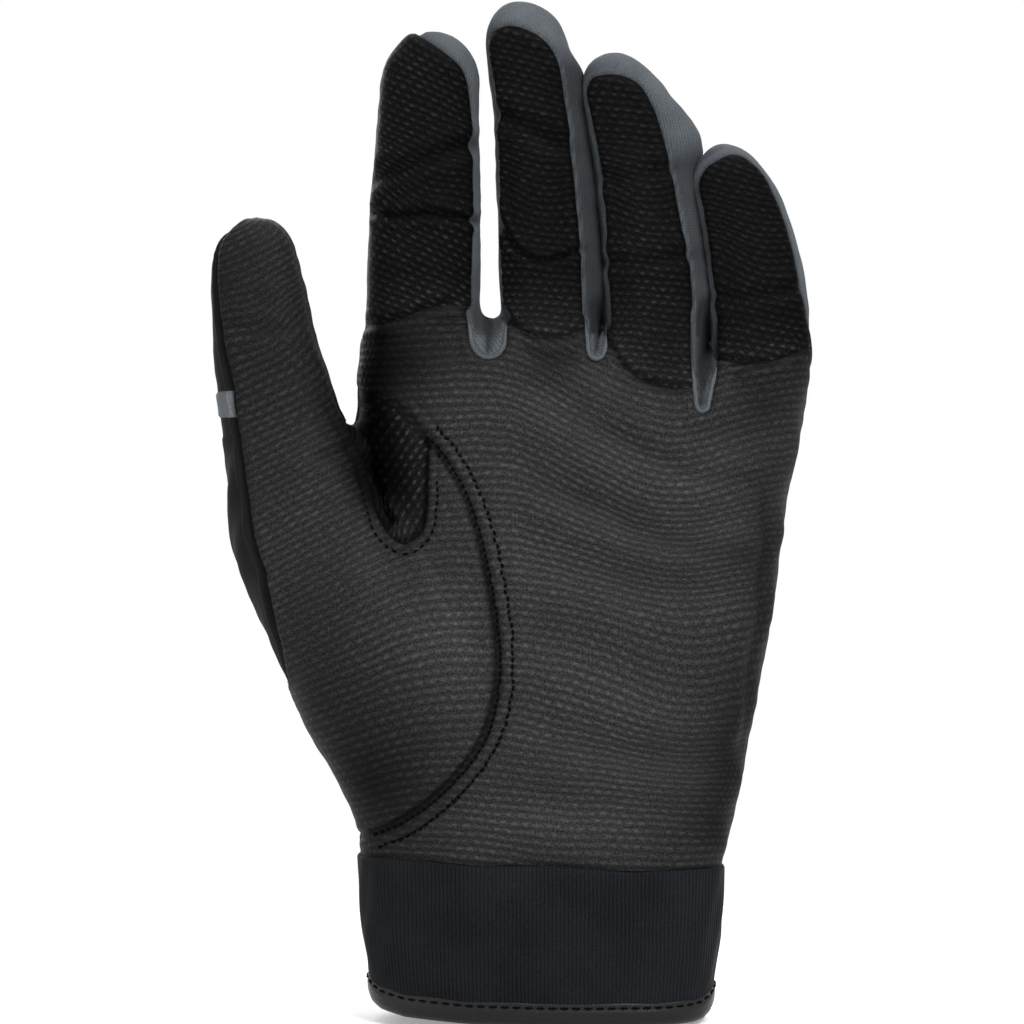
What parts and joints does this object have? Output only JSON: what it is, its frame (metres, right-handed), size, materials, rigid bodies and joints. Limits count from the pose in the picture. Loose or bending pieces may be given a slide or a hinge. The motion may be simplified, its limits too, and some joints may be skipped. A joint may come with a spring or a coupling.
{
  "type": "batting glove",
  "caption": "Left-hand batting glove with an embossed leather palm, stretch finger sides and back, a knitted cuff and a hook-and-loop strap.",
  "frame": {"origin": "centre of the wrist opening, in the plane of the hem", "axes": "+Z from the hem to the fingertips, +X from the thumb to the little finger, +Y from the palm to the back of the hand"},
  "size_m": [0.1384, 0.0505, 0.2351],
  "materials": {
    "leather_black": "embossed black leather with a soft sheen",
    "stretch_black": "smooth black stretch knit",
    "stretch_grey": "matt slate-grey stretch knit",
    "cuff_knit": "fine ribbed black knit over foam",
    "binding": "smooth black synthetic binding",
    "hook_loop": "black hook-and-loop tape",
    "thread": "black sewing thread"
  },
  "bodies": {
    "hand": {"palm_panel": "leather_black", "thenar_panel": "leather_black", "thumb_crotch_gusset": "leather_black", "thumb_side_panel": "stretch_black", "back_panel": "stretch_black", "knuckle_panel": "stretch_grey", "thumb_back_panel": "stretch_black", "web_index_middle": "stretch_grey", "web_middle_ring": "stretch_grey", "web_ring_pinky": "stretch_grey", "cuff_band": "cuff_knit", "hem_binding": "binding", "closure_gusset": "stretch_grey", "loop_patch": "hook_loop", "strap_root": "cuff_knit"},
    "index_lower": {"index_front_lower": "leather_black", "index_outer_strip": "stretch_grey", "index_back_lower": "stretch_grey"},
    "index_upper": {"index_front_upper": "leather_black", "index_tip_strip": "stretch_grey", "index_back_upper": "stretch_grey"},
    "middle_lower": {"middle_front_lower": "leather_black", "middle_outer_strip": "stretch_grey", "middle_inner_strip": "stretch_grey", "middle_back_lower": "stretch_grey"},
    "middle_upper": {"middle_front_upper": "leather_black", "middle_tip_strip": "stretch_grey", "middle_back_upper": "stretch_grey"},
    "ring_lower": {"ring_front_lower": "leather_black", "ring_outer_strip": "stretch_grey", "ring_inner_strip": "stretch_grey", "ring_back_lower": "stretch_grey"},
    "ring_upper": {"ring_front_upper": "leather_black", "ring_tip_strip": "stretch_grey", "ring_back_upper": "stretch_grey"},
    "pinky_lower": {"pinky_front_lower": "leather_black", "pinky_inner_strip": "stretch_grey", "pinky_back_lower": "stretch_grey"},
    "pinky_upper": {"pinky_front_upper": "leather_black", "pinky_tip_strip": "stretch_grey", "pinky_back_upper": "stretch_grey"},
    "thumb_lower": {"thumb_front_lower": "leather_black", "thumb_side_lower": "stretch_black", "thumb_band": "stretch_grey", "thumb_back_lower": "stretch_black"},
    "thumb_upper": {"thumb_front_upper": "leather_black", "thumb_side_upper": "stretch_black", "thumb_back_upper": "stretch_black"},
    "strap": {"strap": "cuff_knit", "hook_patch": "hook_loop", "strap_tab": "binding"}
  },
  "joints": [
    {"name": "index_base", "type": "hinge", "parent": "hand", "child": "index_lower", "pos_m": [-0.0272, -0.0122, 0.1652], "axis": [1, 0, 0], "range_deg": [0, 80], "stiffness_Nm_per_rad": 0.08},
    {"name": "index_mid", "type": "hinge", "parent": "index_lower", "child": "index_upper", "pos_m": [-0.0267, -0.0135, 0.1882], "axis": [1, 0, 0], "range_deg": [0, 85], "stiffness_Nm_per_rad": 0.05},
    {"name": "middle_base", "type": "hinge", "parent": "hand", "child": "middle_lower", "pos_m": [0.002, -0.0122, 0.1652], "axis": [1, 0, 0], "range_deg": [0, 80], "stiffness_Nm_per_rad": 0.08},
    {"name": "middle_mid", "type": "hinge", "parent": "middle_lower", "child": "middle_upper", "pos_m": [0.0006, -0.0135, 0.1902], "axis": [1, 0, 0], "range_deg": [0, 85], "stiffness_Nm_per_rad": 0.05},
    {"name": "ring_base", "type": "hinge", "parent": "hand", "child": "ring_lower", "pos_m": [0.0267, -0.0142, 0.1632], "axis": [1, 0, 0], "range_deg": [0, 80], "stiffness_Nm_per_rad": 0.08},
    {"name": "ring_mid", "type": "hinge", "parent": "ring_lower", "child": "ring_upper", "pos_m": [0.0249, -0.0155, 0.1872], "axis": [1, 0, 0], "range_deg": [0, 85], "stiffness_Nm_per_rad": 0.05},
    {"name": "pinky_base", "type": "hinge", "parent": "hand", "child": "pinky_lower", "pos_m": [0.0514, -0.0152, 0.1547], "axis": [1, 0, 0], "range_deg": [0, 80], "stiffness_Nm_per_rad": 0.06},
    {"name": "pinky_mid", "type": "hinge", "parent": "pinky_lower", "child": "pinky_upper", "pos_m": [0.0505, -0.016, 0.1722], "axis": [1, 0, 0], "range_deg": [0, 85], "stiffness_Nm_per_rad": 0.04},
    {"name": "thumb_base", "type": "hinge", "parent": "hand", "child": "thumb_lower", "pos_m": [-0.0602, -0.0212, 0.1402], "axis": [1, 0, 0], "range_deg": [0, 50], "stiffness_Nm_per_rad": 0.08},
    {"name": "thumb_tip", "type": "hinge", "parent": "thumb_lower", "child": "thumb_upper", "pos_m": [-0.0638, -0.0217, 0.1582], "axis": [1, 0, 0], "range_deg": [0, 65], "stiffness_Nm_per_rad": 0.05},
    {"name": "strap_peel", "type": "hinge", "parent": "hand", "child": "strap", "pos_m": [-0.0201, 0.0212, 0.021], "axis": [0, 0, 1], "range_deg": [0, 130]}
  ]
}
